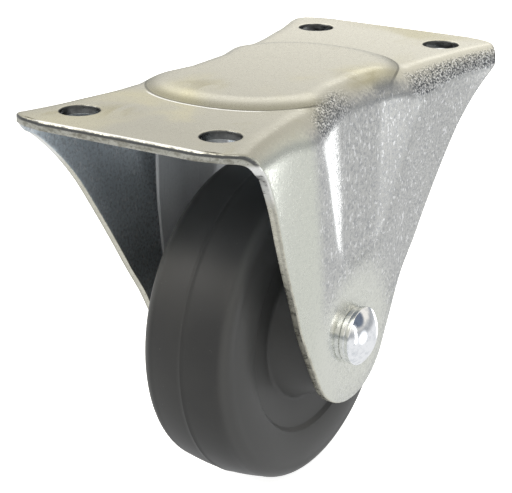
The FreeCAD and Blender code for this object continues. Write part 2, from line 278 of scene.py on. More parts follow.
# Outside of the sheet at one station, from the plate's middle to its trimmed edge
def stationPoints(x, rows):
    radius = float(bendRadius(x))
    probe, share = horn["probe"], horn["solveShare"]
    legZ = -radius
    plateY = float(legFace(x, legZ)) - radius
    # The bend's centre is found step by step, so that its arc runs smoothly into the plate and the leg
    for turn in range(horn["solveTurns"]):
        tilt = math.atan(float(legFace(x, legZ + probe) - legFace(x, legZ - probe)) / (2.0 * probe))
        lean = math.atan(float(plateTop(x, plateY + probe) - plateTop(x, plateY - probe)) / (2.0 * probe))
        centreY = float(legFace(x, legZ)) - radius * math.cos(tilt)
        centreZ = float(plateTop(x, plateY)) - radius * math.cos(lean)
        plateY += share * (centreY - radius * math.sin(lean) - plateY)
        legZ += share * (centreZ - radius * math.sin(tilt) - legZ)
    plateYs = np.linspace(0.0, plateY, horn["plateSteps"], endpoint=False)
    angles = np.linspace(math.pi / 2.0 + lean, -tilt, horn["bendSteps"], endpoint=False)
    legZs = np.linspace(legZ, horn["axleZ"] - horn["tipRadius"] - horn["pastTip"], horn["legSteps"])
    ys = np.concatenate([plateYs, centreY + radius * np.cos(angles), legFace(x, legZs)])
    zs = np.concatenate([plateTop(x, plateYs), centreZ + radius * np.sin(angles), legZs])
    room = np.minimum(planHalfWidth(x) - ys, zs - sideFloor(x))
    last = int(np.argmax(room < 0.0))
    # The section ends where it meets the trimmed edge, between its last two points
    share = room[last - 1] / (room[last - 1] - room[last])
    endY = ys[last - 1] + share * (ys[last] - ys[last - 1])
    endZ = zs[last - 1] + share * (zs[last] - zs[last - 1])
    ys = np.append(ys[:last], endY)
    zs = np.append(zs[:last], endZ)
    along = np.concatenate([[0.0], np.cumsum(np.hypot(np.diff(ys), np.diff(zs)))])
    # The last strip is wider where the trimmed edge runs slanted, so the rolled edge never folds over it
    reach = planHalfWidth if planHalfWidth(x) - endY < 0.001 else sideFloor
    slant = (reach(x + probe) - reach(x - probe)) / (2.0 * probe)
    strip = horn["edgeGap"] * min(math.hypot(1.0, slant), horn["widestStrip"])
    wanted = np.append(np.linspace(0.0, along[-1] - strip, rows), along[-1])
    columns = [np.full(rows + 1, x), np.interp(wanted, along, ys), np.interp(wanted, along, zs)]
    return np.stack(columns, axis=1)


# Where the sections are taken along the plate, closest beside the recess and at the ends
def hornStations():
    end = horn["length"] / 2.0
    stations = [0.0]
    while stations[-1] < end:
        x = stations[-1]
        fine = horn["fineFrom"] < x < horn["fineTo"] or x > end - horn["fineEnd"]
        x += horn["fineStep"] if fine else horn["coarseStep"]
        stations.append(x if x < end - horn["edgeGap"] else end)
    return [-x for x in reversed(stations[1:])] + stations


def unitRows(vectors):
    return vectors / np.maximum(np.linalg.norm(vectors, axis=-1, keepdims=True), 1e-12)


# Both skins, the rolled outer edge, the cut wall and the inner edge, with two attributes for the colours:
# the sheet's depth, and the distance from the saddle's foot that places the painted shade and highlight
# there
def hornMesh():
    stations = hornStations()
    rows = horn["rows"]
    halves = np.array([stationPoints(x, rows) for x in stations])
    mirrored = halves[:, :0:-1].copy()
    mirrored[:, :, 1] *= -1.0
    outer = np.concatenate([mirrored, halves], axis=1)
    alongX = np.gradient(outer, axis=0)
    alongS = np.gradient(outer, axis=1)
    normals = unitRows(np.cross(alongX, alongS))
    count, width = outer.shape[0], outer.shape[1]
    loop = [(i, width - 1) for i in range(count)]
    loop += [(count - 1, j) for j in range(width - 2, -1, -1)]
    loop += [(i, 0) for i in range(count - 2, -1, -1)]
    loop += [(0, j) for j in range(1, width - 1)]
    rim = np.array([outer[i, j] for i, j in loop])
    rimNormal = np.array([normals[i, j] for i, j in loop])
    rimAlong = unitRows(np.roll(rim, -1, axis=0) - np.roll(rim, 1, axis=0))
    rimOut = unitRows(np.cross(rimNormal, rimAlong))
    middle = rim.mean(axis=0)
    if np.sum(rimOut * (rim - middle)) < 0.0:
        rimOut = -rimOut
    thickness = horn["thickness"]
    inner = outer - normals * thickness
    round1, round2 = horn["edgeRound"], horn["innerEdgeRound"]
    # Rings from the outer skin to the inner one: how far out of the rim, and how deep
    rings = []
    for step in range(horn["roundSteps"] + 1):
        turn = math.pi / 2.0 * step / horn["roundSteps"]
        rings.append((-round1 * (1.0 - math.sin(turn)), round1 * (1.0 - math.cos(turn))))
    for step in range(1, horn["wallSteps"]):
        rings.append((0.0, round1 + (thickness - round1 - round2) * step / horn["wallSteps"]))
    for step in range(horn["innerRoundSteps"] + 1):
        turn = math.pi / 2.0 * step / horn["innerRoundSteps"]
        rings.append((-round2 * (1.0 - math.cos(turn)), thickness - round2 * (1.0 - math.sin(turn))))
    for (i, j), point, normal, out in zip(loop, rim, rimNormal, rimOut):
        outer[i, j] = point + out * rings[0][0]
        inner[i, j] = point + out * rings[-1][0] - normal * thickness
    vertices = [tuple(p) for p in outer.reshape(-1, 3)] + [tuple(p) for p in inner.reshape(-1, 3)]
    size = count * width
    depths = [0.0] * size + [1.0] * size
    onPlate = outer[:, :, 2] > -horn["endBend"]
    footDistances = np.where(onPlate, insideSaddle(outer[:, :, 0], outer[:, :, 1]), horn["farFromFoot"])
    footDistances = list(footDistances.reshape(-1)) + [horn["farFromFoot"]] * size
    faces = []
    slots = []
    for i in range(count - 1):
        for j in range(width - 1):
            a = i * width + j
            faces.append((a, a + width, a + width + 1, a + 1))
            faces.append((a + size, a + size + 1, a + size + width + 1, a + size + width))
            slots += [0, 0]
    previous = [i * width + j for i, j in loop]
    for number, (out, depth) in enumerate(rings[1:], start=1):
        if number == len(rings) - 1:
            current = [size + i * width + j for i, j in loop]
        else:
            base = len(vertices)
            ring = rim + rimOut * out - rimNormal * depth
            vertices += [tuple(p) for p in ring]
            depths += [depth / thickness] * len(loop)
            footDistances += [horn["farFromFoot"]] * len(loop)
            current = list(range(base, base + len(loop)))
        for k in range(len(loop)):
            n = (k + 1) % len(loop)
            faces.append((previous[k], current[k], current[n], previous[n]))
            slots.append(1 if number > horn["roundSteps"] // 2 else 0)
        previous = current
    mesh = bpy.data.meshes.new("horn_sheet")
    mesh.from_pydata(vertices, [], faces)
    mesh.polygons.foreach_set("material_index", slots)
    mesh.attributes.new("sheetDepth", "FLOAT", "POINT").data.foreach_set("value", depths)
    mesh.attributes.new("footDistance", "FLOAT", "POINT").data.foreach_set("value", footDistances)
    return mesh


# Opens one round hole through both skins of the sheet and lines it
def cutHole(bm, centre, axis, across, radius, rim):
    up = axis.cross(across)
    depthLayer = bm.verts.layers.float["sheetDepth"]
    footLayer = bm.verts.layers.float["footDistance"]
    thickness = horn["thickness"]
    clear = radius + horn["holeClear"]
    deep = thickness + horn["holeReach"]
    near = [f for f in bm.faces if any(
        (v.co - centre - axis * (v.co - centre).dot(axis)).length < clear
        and abs((v.co - centre).dot(axis)) < deep for v in f.verts)]
    bmesh.ops.delete(bm, geom=near, context="FACES")
    loops = {0: [], 1: []}
    for edge in bm.edges:
        if len(edge.link_faces) == 1:
            middle = (edge.verts[0].co + edge.verts[1].co) / 2.0 - centre
            depth = middle.dot(axis)
            if (middle - axis * depth).length < clear + horn["loopSearch"] and abs(depth) < deep:
                loops[0 if abs(depth) < thickness / 2.0 else 1].append(edge)
    # Section of the lining, as (radius, depth): a rolled rim, a straight wall and a sharp back edge
    outline = [(radius + rim + 0.35, 0.0), (radius + rim, 0.0), (radius + rim * 0.45, -rim * 0.2),
               (radius + rim * 0.12, -rim * 0.6), (radius, -rim), (radius, -thickness / 2.0),
               (radius, -thickness + 0.1), (radius + 0.1, -thickness), (radius + 0.45, -thickness)]
    rings = []
    turns = horn["holeTurns"]
    for size, depth in outline:
        ring = []
        for step in range(turns):
            angle = 2.0 * math.pi * step / turns
            direction = across * math.cos(angle) + up * math.sin(angle)
            vertex = bm.verts.new(centre + direction * size + axis * depth)
            onWall = -thickness < depth < -rim * 0.2
            vertex[depthLayer] = horn["holeWallDepth"] if onWall else -depth / thickness
            vertex[footLayer] = horn["farFromFoot"]
            ring.append(vertex)
        rings.append(ring)
    for number, (first, second) in enumerate(zip(rings, rings[1:])):
        for step in range(turns):
            after = (step + 1) % turns
            face = bm.faces.new((first[step], second[step], second[after], first[after]))
            face.material_index = 1 if 2 <= number <= 5 else 0
    for side, ring in ((0, rings[0]), (1, rings[-1])):
        edges = [bm.edges.get((ring[step], ring[(step + 1) % turns])) for step in range(turns)]
        normal = axis if side == 0 else -axis
        bmesh.ops.triangle_fill(bm, use_beauty=True, use_dissolve=False, edges=loops[side] + edges,
                                normal=normal)


# The mesh, its four bolt holes and two rivet holes, in metres
def makeHorn():
    mesh = hornMesh()
    bm = bmesh.new()
    bm.from_mesh(mesh)
    for sideX in (-1.0, 1.0):
        for sideY in (-1.0, 1.0):
            centre = Vector((sideX * horn["holeX"], sideY * horn["holeY"], 0.0))
            cutHole(bm, centre, Vector((0, 0, 1)), Vector((1, 0, 0)), horn["holeRadius"], horn["holeRim"])
    for side in (-1.0, 1.0):
        centre = Vector((0.0, side * horn["padFace"], horn["axleZ"]))
        cutHole(bm, centre, Vector((0, side, 0)), Vector((1, 0, 0)), horn["rivetHoleRadius"],
                horn["rivetHoleRim"])
    bmesh.ops.recalc_face_normals(bm, faces=bm.faces)
    bmesh.ops.scale(bm, vec=(metre, metre, metre), verts=bm.verts)
    for face in bm.faces:
        face.smooth = True
    bm.to_mesh(mesh)
    bm.free()
    piece = bpy.data.objects.new("horn_sheet", mesh)
    scene.collection.objects.link(piece)
    return piece


mergeDistance = 0.000002  # closes the seam of a turned piece, in metres


# A group that turns an outline of (radius, y) points about the axle
def turningGroup():
    group = bpy.data.node_groups.new("turned_piece", "GeometryNodeTree")
    group.interface.new_socket("Outline", in_out="INPUT", socket_type="NodeSocketGeometry")
    group.interface.new_socket("Turns", in_out="INPUT", socket_type="NodeSocketInt")
    group.interface.new_socket("Material", in_out="INPUT", socket_type="NodeSocketMaterial")
    group.interface.new_socket("Piece", in_out="OUTPUT", socket_type="NodeSocketGeometry")
    source = addNode(group, "NodeGroupInput")
    outline, turns, material = (source.outputs[name] for name in ("Outline", "Turns", "Material"))
    # One column of grid points for each turn, and one row for each point of the outline
    size = addNode(group, "GeometryNodeAttributeDomainSize", {"Geometry": outline}, component="MESH")
    points = size.outputs["Point Count"]
    grid = addNode(group, "GeometryNodeMeshGrid", {
        "Size X": 1.0, "Size Y": 1.0, "Vertices X": maths(group, "ADD", turns, 1.0), "Vertices Y": points})
    index = addNode(group, "GeometryNodeInputIndex").outputs[0]
    column = maths(group, "FLOOR", maths(group, "DIVIDE", index, points))
    row = maths(group, "MODULO", index, points)
    place = addNode(group, "GeometryNodeInputPosition").outputs[0]
    sample = addNode(group, "GeometryNodeSampleIndex", {"Geometry": outline, "Index": row},
                     data_type="FLOAT_VECTOR", domain="POINT")
    vectorIn = [s for s in sample.inputs if s.name == "Value" and s.type == "VECTOR"][0]
    group.links.new(place, vectorIn)
    vectorOut = [s for s in sample.outputs if s.name == "Value" and s.type == "VECTOR"][0]
    split = addNode(group, "ShaderNodeSeparateXYZ", {0: vectorOut})
    angle = product(group, column, maths(group, "DIVIDE", 2.0 * math.pi, turns))
    sideways = product(group, maths(group, "COSINE", angle), split.outputs[0])
    upwards = product(group, maths(group, "SINE", angle), split.outputs[0])
    upwards = maths(group, "ADD", upwards, horn["axleZ"] * metre)
    position = addNode(group, "ShaderNodeCombineXYZ", {0: sideways, 1: split.outputs[1], 2: upwards})
    placed = addNode(group, "GeometryNodeSetPosition", {
        "Geometry": grid.outputs["Mesh"], "Position": position.outputs[0]})
    merged = addNode(group, "GeometryNodeMergeByDistance", {
        "Geometry": placed.outputs[0], "Distance": mergeDistance})
    smooth = addNode(group, "GeometryNodeSetShadeSmooth", {"Geometry": merged.outputs[0]})
    dressed = addNode(group, "GeometryNodeSetMaterial", {
        "Geometry": smooth.outputs[0], "Material": material})
    addNode(group, "NodeGroupOutput", {0: dressed.outputs[0]})
    return group


turnGroup = turningGroup()


# Rounds the corners of an outline of (radius, y, corner radius) points, in millimetres
def roundedOutline(corners, steps=5):
    points = []
    count = len(corners)
    for k in range(count):
        here = Vector(corners[k][:2])
        size = corners[k][2]
        before = Vector(corners[k - 1][:2]) - here
        after = Vector(corners[(k + 1) % count][:2]) - here
        if size <= 0.0 or before.length < 1e-6 or after.length < 1e-6:
            points.append(here)
            continue
        before.normalize()
        after.normalize()
        half = math.acos(max(min(before.dot(after), 1.0), -1.0)) / 2.0
        reach = size / math.tan(half)
        centre = here + (before + after).normalized() * (size / math.sin(half))
        first = here + before * reach - centre
        last = here + after * reach - centre
        sweep = first.angle_signed(last)
        for step in range(steps + 1):
            turn = -sweep * step / steps
            points.append(centre + Matrix.Rotation(turn, 2) @ first)
    return points


# The outline goes through the group, and the piece keeps the turned mesh
def turnedPiece(name, points, material, turns):
    mesh = bpy.data.meshes.new(name + "_outline")
    closed = [(p[0] * metre, p[1] * metre, 0.0) for p in points]
    closed.append(closed[0])
    edges = [(k, k + 1) for k in range(len(closed) - 1)]
    mesh.from_pydata(closed, edges, [])
    piece = bpy.data.objects.new(name, mesh)
    scene.collection.objects.link(piece)
    modifier = piece.modifiers.new("turned", "NODES")
    modifier.node_group = turnGroup
    keys = {item.name: item.identifier for item in turnGroup.interface.items_tree if item.in_out == "INPUT"}
    modifier[keys["Turns"]] = turns
    modifier[keys["Material"]] = material
    bpy.context.view_layer.update()
    solid = piece.evaluated_get(bpy.context.evaluated_depsgraph_get())
    turned = bpy.data.meshes.new_from_object(solid)
    piece.modifiers.remove(modifier)
    piece.data = turned
    bm = bmesh.new()
    bm.from_mesh(turned)
    bmesh.ops.recalc_face_normals(bm, faces=bm.faces)
    bm.to_mesh(turned)
    bm.free()
    return piece


# The wheel: a moulded tyre-and-hub section with a mould line round the tread
wheel = {
    "radius": 38.1,
    "halfWidth": 12.0,
    "crown": 1.1,
    "crownMiddle": 0.27,  # share of the crown that is lost halfway to the shoulder
    "shoulder": 3.2,
    "shoulderInset": 0.4,
    "mouldLine": (0.15, 0.6),  # height and width
    "mouldLineTop": (0.3, 0.18),  # shares of them
    "ringRadius": 25.6,
    "ringInset": 0.6,
    "ringDepth": 0.9,
    "webSlope": 0.8,
    "hubBase": 17.8,
    "hubEnd": 13.2,
    "hubHalf": 19.6,
    "hubEdge": 1.2,
    "bore": 7.15,
    "turns": 220,
}


# Points of the arc through three points
def arcThrough(start, middle, end, steps=10):
    a, b, c = (np.array(p, float) for p in (start, middle, end))
    d = 2.0 * (a[0] * (b[1] - c[1]) + b[0] * (c[1] - a[1]) + c[0] * (a[1] - b[1]))
    centre = np.array([
        (a @ a * (b[1] - c[1]) + b @ b * (c[1] - a[1]) + c @ c * (a[1] - b[1])) / d,
        (a @ a * (c[0] - b[0]) + b @ b * (a[0] - c[0]) + c @ c * (b[0] - a[0])) / d,
    ])
    turns = [math.atan2(*(p - centre)[::-1]) for p in (a, b, c)]
    for k in (1, 2):
        while turns[k] - turns[k - 1] > math.pi:
            turns[k] -= 2.0 * math.pi
        while turns[k] - turns[k - 1] < -math.pi:
            turns[k] += 2.0 * math.pi
    radius = np.linalg.norm(a - centre)
    angles = np.linspace(turns[0], turns[2], steps + 1)
    return [tuple(centre + radius * np.array([math.cos(t), math.sin(t)])) for t in angles]


# Section of the wheel as (radius, y) points: one side from the mould line to the bore, then its mirror
def wheelOutline():
    line, ridge = wheel["mouldLine"]
    radius, half = wheel["radius"], wheel["halfWidth"]
    edge = radius - wheel["crown"]
    shoulder = wheel["shoulder"]
    shoulderY = half - shoulder - wheel["shoulderInset"]
    ringFace = half - wheel["ringInset"]
    webOuter = ringFace - wheel["ringDepth"]
    webInner = webOuter - wheel["webSlope"]
    base = radius - line
    crownMiddle = (base - wheel["crown"] * wheel["crownMiddle"], shoulderY / 2.0)
    crown = arcThrough((base, ridge / 2.0), crownMiddle, (edge, shoulderY))
    centre = (edge - shoulder, shoulderY)
    turn = math.sqrt(0.5) * shoulder
    wallTop = (centre[0], shoulderY + shoulder)
    corner = arcThrough((edge, shoulderY), (centre[0] + turn, centre[1] + turn), wallTop)
    wallMiddle = ((centre[0] + wheel["ringRadius"]) / 2.0, half)
    wall = arcThrough(wallTop, wallMiddle, (wheel["ringRadius"], ringFace))
    inner = roundedOutline([
        (wall[-2][0], wall[-2][1], 0.0),
        (wheel["ringRadius"], ringFace, 0.3),
        (wheel["ringRadius"] - wheel["ringDepth"], webOuter, 0.5),
        (wheel["hubBase"], webInner, 1.1),
        (wheel["hubEnd"], wheel["hubHalf"] - wheel["hubEdge"] * 0.6, 1.1),
        (wheel["hubEnd"] - wheel["hubEdge"], wheel["hubHalf"], 0.25),
        (wheel["bore"], wheel["hubHalf"], 0.0),
    ])[1:]
    lineDrop, lineTop = wheel["mouldLineTop"]
    side = [(radius - line * lineDrop, ridge * lineTop)] + crown + corner[1:] + wall[1:-1]
    side += [tuple(p) for p in inner]
    other = [(p[0], -p[1]) for p in side]
    return side + other[::-1]


# The rivet and its washers: turned steel with softened edges
rivet = {
    "radius": 3.97,
    "head": 6.85,
    "headHeight": 3.8,
    "headRim": 1.1,
    "setRadius": 6.2,
    "setHeight": 2.8,
    "washerRadius": 6.6,
    "washerThickness": 1.3,
    "washerBore": 4.05,
    "turns": 96,
}


# Points of a low dome from its top to its rim, on the side of +Y or -Y
def domeArc(radius, height, seat, side, steps):
    sphere = (radius ** 2 + height ** 2) / (2.0 * height)
    angle = math.asin(min(radius / sphere, 1.0))
    centre = side * (seat + height - sphere)
    turns = [angle * step / steps for step in range(steps + 1)]
    return [(sphere * math.sin(t), centre + side * sphere * math.cos(t)) for t in turns]


def rivetOutline():
    seat = horn["padFace"] + rivet["washerThickness"]
    rim = rivet["headRim"]
    head = domeArc(rivet["head"], rivet["headHeight"] - rim, seat + rim, -1.0, 20)
    setEnd = domeArc(rivet["setRadius"], rivet["setHeight"], seat, 1.0, 16)
    points = head[:-1]
    points += [(rivet["head"] - 0.03, -seat - rim - 0.06), (rivet["head"], -seat - rim + 0.08)]
    points += [(rivet["head"], -seat - 0.12), (rivet["head"] - 0.12, -seat)]
    points += [(rivet["radius"], -seat), (rivet["radius"], seat)]
    points += list(reversed(setEnd))
    return points


def washerOutline(side):
    near, far = horn["padFace"], horn["padFace"] + rivet["washerThickness"]
    size = rivet["washerRadius"]
    bore = rivet["washerBore"]
    corners = [(bore, near, 0.0), (size, near, 0.2), (size, far, 0.25), (bore, far, 0.0)]
    return [(p[0], side * p[1]) for p in roundedOutline(corners)]


# Zinc-plated pressed sheet: pale, faintly yellow plating, grey and speckled where it was drawn
finish = {
    "plateNear": "b1afa3",
    "plateFar": "e6e4d8",
    "yellow": "cfc9a6",
    "olive": "a39c78",
    "stains": [  # x, y and reach of the olive stains
        (-0.0205, 0.005, 0.008),
        (-0.044, 0.0114, 0.008),
        (-0.0516, 0.0207, 0.007),
        (0.006, -0.021, 0.012),
    ],
    # The next two colours are painted shade: the saddle's darkened wall and the dark crease at its foot
    "footShade": "86836f",
    "footCreaseShade": "4e4c42",
    "smoothLeg": "d9dbd0",
    "drawnLeg": "c7c7c4",
    "drawnFrom": -0.031,
    "drawnTo": -0.0255,
    "grain": "9c9ea1",
    "pad": "e0e1d8",
    # Painted light: a paler, bluish colour for the shaded inner faces of the legs
    "insideLeg": "dbe3e8",
    # A flat grey painted in place of the inner panel's reflection
    "insidePanel": "b4b5b6",
    "panelEdge": 0.0152,
    # A painted dark reflection, speckled along the tight bends
    "darkSpeckReflection": "39404c",
    "fleck": "ffffff",
    "grainPerMetre": 1500.0,
    "speckPerMetre": 2400.0,
    "roughness": (0.24, 0.38),
    "burnish": 0.16,  # how much smoother the recess walls are
    "bumpStrength": 0.4,
    "bumpHeight": 0.00008,
}


def pieceAttribute(tree, name):
    return addNode(tree, "ShaderNodeAttribute", attribute_name=name).outputs["Fac"]


def addBump(tree, shader, height, strength, distance):
    bump = addNode(tree, "ShaderNodeBump", {"Height": height, "Strength": strength, "Distance": distance})
    tree.links.new(bump.outputs[0], shader.inputs["Normal"])


# The flat top: paler towards its far end, with yellow and olive passivation stains
def plateColour(tree, coords, x, foot):
    cloud = noiseAt(tree, coords, 26.0, 3.0, 0.55, 0.6)
    blotch = noiseAt(tree, stretched(tree, coords, (60.0, 130.0, 60.0)), 1.0, 4.0, 0.6, 1.2)
    plate = mixColour(tree, mapRange(tree, x, -0.05, 0.05, smooth=False),
                      linearColour(finish["plateNear"]), linearColour(finish["plateFar"]))
    yellow = product(tree, mapRange(tree, cloud, 0.5, 0.72), 0.7)
    plate = mixColour(tree, yellow, plate, linearColour(finish["yellow"]))
    stained = 0.0
    for stainX, stainY, reach in finish["stains"]:
        away = addNode(tree, "ShaderNodeVectorMath", {0: coords, 1: (stainX, stainY, 0.0)},
                       operation="DISTANCE")
        stained = maths(tree, "MAXIMUM", stained, mapRange(tree, away.outputs["Value"], reach, 0.0))
    olive = product(tree, stained, mapRange(tree, blotch, 0.42, 0.6))
    olive = maths(tree, "MAXIMUM", olive, product(tree, mapRange(tree, blotch, 0.62, 0.8), 0.6))
    plate = mixColour(tree, product(tree, olive, 0.6), plate, linearColour(finish["olive"]))
    # Painted light on the raised saddle: a painted shade darkens its wall towards the foot, a painted dark
    # crease runs along the foot, and a painted highlight runs just outside the foot at its near end
    wall = product(tree, mapRange(tree, foot, 3.4, 0.1), mapRange(tree, foot, -0.15, 0.1), 0.6)
    plate = mixColour(tree, wall, plate, linearColour(finish["footShade"]))
    creaseShade = product(tree, mapRange(tree, foot, -0.2, 0.0), mapRange(tree, foot, 0.5, 0.25), 0.6)
    plate = mixColour(tree, creaseShade, plate, linearColour(finish["footCreaseShade"]))
    # Painted highlight: a white line just outside the saddle's foot at its near end
    line = product(tree, mapRange(tree, foot, -0.75, -0.4), mapRange(tree, foot, 0.0, -0.2),
                   mapRange(tree, x, -0.0268, -0.029))
    return mixColour(tree, line, plate, linearColour(finish["fleck"]))


# The legs: smooth beside the near flare and round the axle, grainy where the sheet was drawn, with painted
# light on their inner faces
def legColour(tree, grain, drawn, inside, padDistance):
    leg = mixColour(tree, drawn, linearColour(finish["smoothLeg"]), linearColour(finish["drawnLeg"]))
    leg = mixColour(tree, mapRange(tree, padDistance, 0.022, 0.011), leg, linearColour(finish["pad"]))
    # The inner faces are painted paler and bluish as painted light, in the fork's shade
    leg = mixColour(tree, inside, leg, linearColour(finish["insideLeg"]))
    share = maths(tree, "ADD", product(tree, drawn, 0.55), 0.18)
    share = maths(tree, "ADD", share, product(tree, inside, 0.4))
    share = product(tree, share, mapRange(tree, padDistance, 0.012, 0.02, 0.35, 1.0))
    share = product(tree, mapRange(tree, grain, 0.42, 0.66), share)
    return mixColour(tree, share, leg, linearColour(finish["grain"]))


def zincSheet():
    material, tree, shader = newMaterial("zinc_plated_pressed_sheet")
    coords, place = objectCoords(tree)
    x, z = place[0], place[2]
    normal = tree.nodes.new("ShaderNodeTexCoord").outputs["Normal"]
    up = addNode(tree, "ShaderNodeSeparateXYZ", {0: normal}).outputs[2]
    inside = mapRange(tree, pieceAttribute(tree, "sheetDepth"), 0.4, 0.6)
    outside = rest(tree, inside)
    grain = noiseAt(tree, coords, finish["grainPerMetre"], 3.0, 0.7)
    speck = noiseAt(tree, coords, finish["speckPerMetre"], 2.0, 0.7)
    fleck = noiseAt(tree, stretched(tree, coords, (1500.0, 1500.0, 900.0)), 1.0, 1.0, 0.5)
    slanted = maths(tree, "ADD", x, product(tree, z, 0.3))
    drawn = product(tree, mapRange(tree, slanted, finish["drawnFrom"], finish["drawnTo"]), outside)
    fromAxle = addNode(tree, "ShaderNodeCombineXYZ", {0: x, 2: z}).outputs[0]
    fromAxle = addNode(tree, "ShaderNodeVectorMath", {0: fromAxle, 1: (0.0, 0.0, horn["axleZ"] * metre)},
                       operation="DISTANCE").outputs["Value"]
    leg = legColour(tree, grain, drawn, inside, fromAxle)
    plate = plateColour(tree, coords, x, pieceAttribute(tree, "footDistance"))
    colour = mixColour(tree, mapRange(tree, up, 0.35, 0.9), leg, plate)
    # Coarse dark and bright specks along the tight bends: grain, with a painted speckled reflection there,
    # dark and bright; and bright flecks down the legs
    nearBand = product(tree, mapRange(tree, x, -0.025, -0.021), mapRange(tree, x, 0.0, -0.010),
                       mapRange(tree, up, 0.02, 0.3), mapRange(tree, up, 0.95, 0.7))
    farBand = product(tree, mapRange(tree, x, 0.017, 0.022), mapRange(tree, up, 0.12, 0.25),
                      mapRange(tree, up, 0.92, 0.75))
    band = product(tree, maths(tree, "MAXIMUM", nearBand, farBand), outside)
    paintedSpeckReflection = product(tree, mapRange(tree, speck, 0.49, 0.56), band, 0.85)
    colour = mixColour(tree, paintedSpeckReflection, colour, linearColour(finish["darkSpeckReflection"]))
    share = maths(tree, "ADD", product(tree, drawn, 0.6), product(tree, inside, 0.5))
    share = product(tree, share, mapRange(tree, up, 0.6, 0.3),
                    mapRange(tree, fromAxle, 0.012, 0.02, 0.25, 1.0))
    white = product(tree, mapRange(tree, fleck, 0.6, 0.7), share)
    # The bright specks along the bends are painted glints
    white = maths(tree, "MAXIMUM", white, product(tree, mapRange(tree, speck, 0.46, 0.38), band))
    # The rolled rim of the near end is painted white: a painted highlight along it
    white = maths(tree, "MAXIMUM", white, mapRange(tree, x, -0.0581, -0.0585))
    colour = mixColour(tree, white, colour, linearColour(finish["fleck"]))
    # Inside a leg the recess is painted as a flat grey panel, nearly without metal, in place of its
    # reflection in the shade, behind a painted highlight line
    away = maths(tree, "ABSOLUTE", x)
    edge = finish["panelEdge"]
    paintedPanel = product(tree, inside, mapRange(tree, away, edge, edge - 0.0004), mapRange(tree, up, -0.5, -0.3),
                   mapRange(tree, z, -0.046, -0.042))
    paintedPanelHighlight = product(tree, paintedPanel, mapRange(tree, away, edge - 0.0013, edge - 0.0008))
    colour = mixColour(tree, product(tree, paintedPanel, 0.9), colour, linearColour(finish["insidePanel"]))
    colour = mixColour(tree, paintedPanelHighlight, colour, linearColour(finish["fleck"]))
    tree.links.new(colour, shader.inputs["Base Color"])
    tree.links.new(mapRange(tree, paintedPanel, 0.0, 1.0, 1.0, 0.1), shader.inputs["Metallic"])
    # The recess walls slid along the press tool, which left them smoother
    burnished = product(tree, mapRange(tree, away, 0.0055, 0.008), mapRange(tree, away, 0.0235, 0.019),
                        mapRange(tree, up, 0.35, 0.1), outside)
    smoothest, roughest = finish["roughness"]
    rough = mapRange(tree, grain, 0.3, 0.7, smoothest, roughest)
    rough = maths(tree, "ADD", rough, product(tree, maths(tree, "MAXIMUM", band, inside), 0.12))
    rough = maths(tree, "SUBTRACT", rough, product(tree, burnished, finish["burnish"]))
    tree.links.new(rough, shader.inputs["Roughness"])
    # Fine scratches down the legs, grain, specks and a slight pressed unevenness
    scratch = noiseAt(tree, stretched(tree, coords, (900.0, 900.0, 110.0)), 1.0, 2.0, 0.6)
    side = product(tree, mapRange(tree, up, 0.5, 0.1), mapRange(tree, burnished, 1.0, 0.0, 0.1, 1.0))
    height = product(tree, mapRange(tree, scratch, 0.6, 0.72), side, -0.9)
    speckHeight = maths(tree, "ADD", product(tree, band, 3.0), 0.3)
    height = maths(tree, "ADD", height, product(tree, speck, speckHeight))
    height = maths(tree, "ADD", height, product(tree, grain, side, 0.9))
    height = maths(tree, "ADD", height, product(tree, noiseAt(tree, coords, 130.0, 2.0), 1.2))
    addBump(tree, shader, height, finish["bumpStrength"], finish["bumpHeight"])
    return material


# Sheared edge of the same sheet: a burnished band by the rolled-over face, painted dark as a painted dark
# reflection, then grey torn metal
cutFinish = {
    "torn": "bbbab0",
    "tornShade": "8d8b80",
    "leg": "dedbcb",
    "pit": "6e6c64",
    # A painted highlight where the edge turns down into the leg
    "root": "f6f6f3",
    # Painted dark reflection on the burnished band
    "burnished": "4b4d50",
}


def shearedEdge():
    material, tree, shader = newMaterial("sheared_steel_edge")
    coords, place = objectCoords(tree)
    z = place[2]
    depth = pieceAttribute(tree, "sheetDepth")
    streak = noiseAt(tree, stretched(tree, coords, (500.0, 500.0, 900.0)), 1.0, 3.0, 0.65)
    grain = noiseAt(tree, coords, 2600.0, 2.0, 0.7)
    colour = mixColour(tree, mapRange(tree, streak, 0.4, 0.68), linearColour(cutFinish["torn"]),
                       linearColour(cutFinish["tornShade"]))
    onLeg = product(tree, mapRange(tree, z, -0.004, -0.009), 0.75)
    colour = mixColour(tree, onLeg, colour, linearColour(cutFinish["leg"]))
    pits = product(tree, mapRange(tree, grain, 0.56, 0.7), 0.6)
    colour = mixColour(tree, pits, colour, linearColour(cutFinish["pit"]))
    # A painted highlight where the edge turns down into the leg, and the painted dark band fades there
    root = product(tree, mapRange(tree, z, -0.0022, -0.0032), mapRange(tree, z, -0.016, -0.010))
    colour = mixColour(tree, product(tree, root, 0.8), colour, linearColour(cutFinish["root"]))
    wander = maths(tree, "SUBTRACT", streak, 0.5)
    wander = maths(tree, "ADD", depth, product(tree, wander, 0.25))
    burnished = product(tree, mapRange(tree, wander, 0.08, 0.16), mapRange(tree, wander, 0.5, 0.36),
                        mapRange(tree, z, -0.006, -0.0028, 0.25, 0.85), rest(tree, root))
    colour = mixColour(tree, burnished, colour, linearColour(cutFinish["burnished"]))
    tree.links.new(colour, shader.inputs["Base Color"])
    shader.inputs["Metallic"].default_value = 1.0
    tree.links.new(mapRange(tree, streak, 0.35, 0.65, 0.25, 0.45), shader.inputs["Roughness"])
    addBump(tree, shader, streak, 0.4, 0.00012)
    return material


# Bright zinc on the rivet and washers: smooth and mirror-like, with faint forming marks
brightFinish = {
    "bright": "fafbfd",
    "mark": "dfe2e6",
    "roughness": (0.07, 0.15),
}


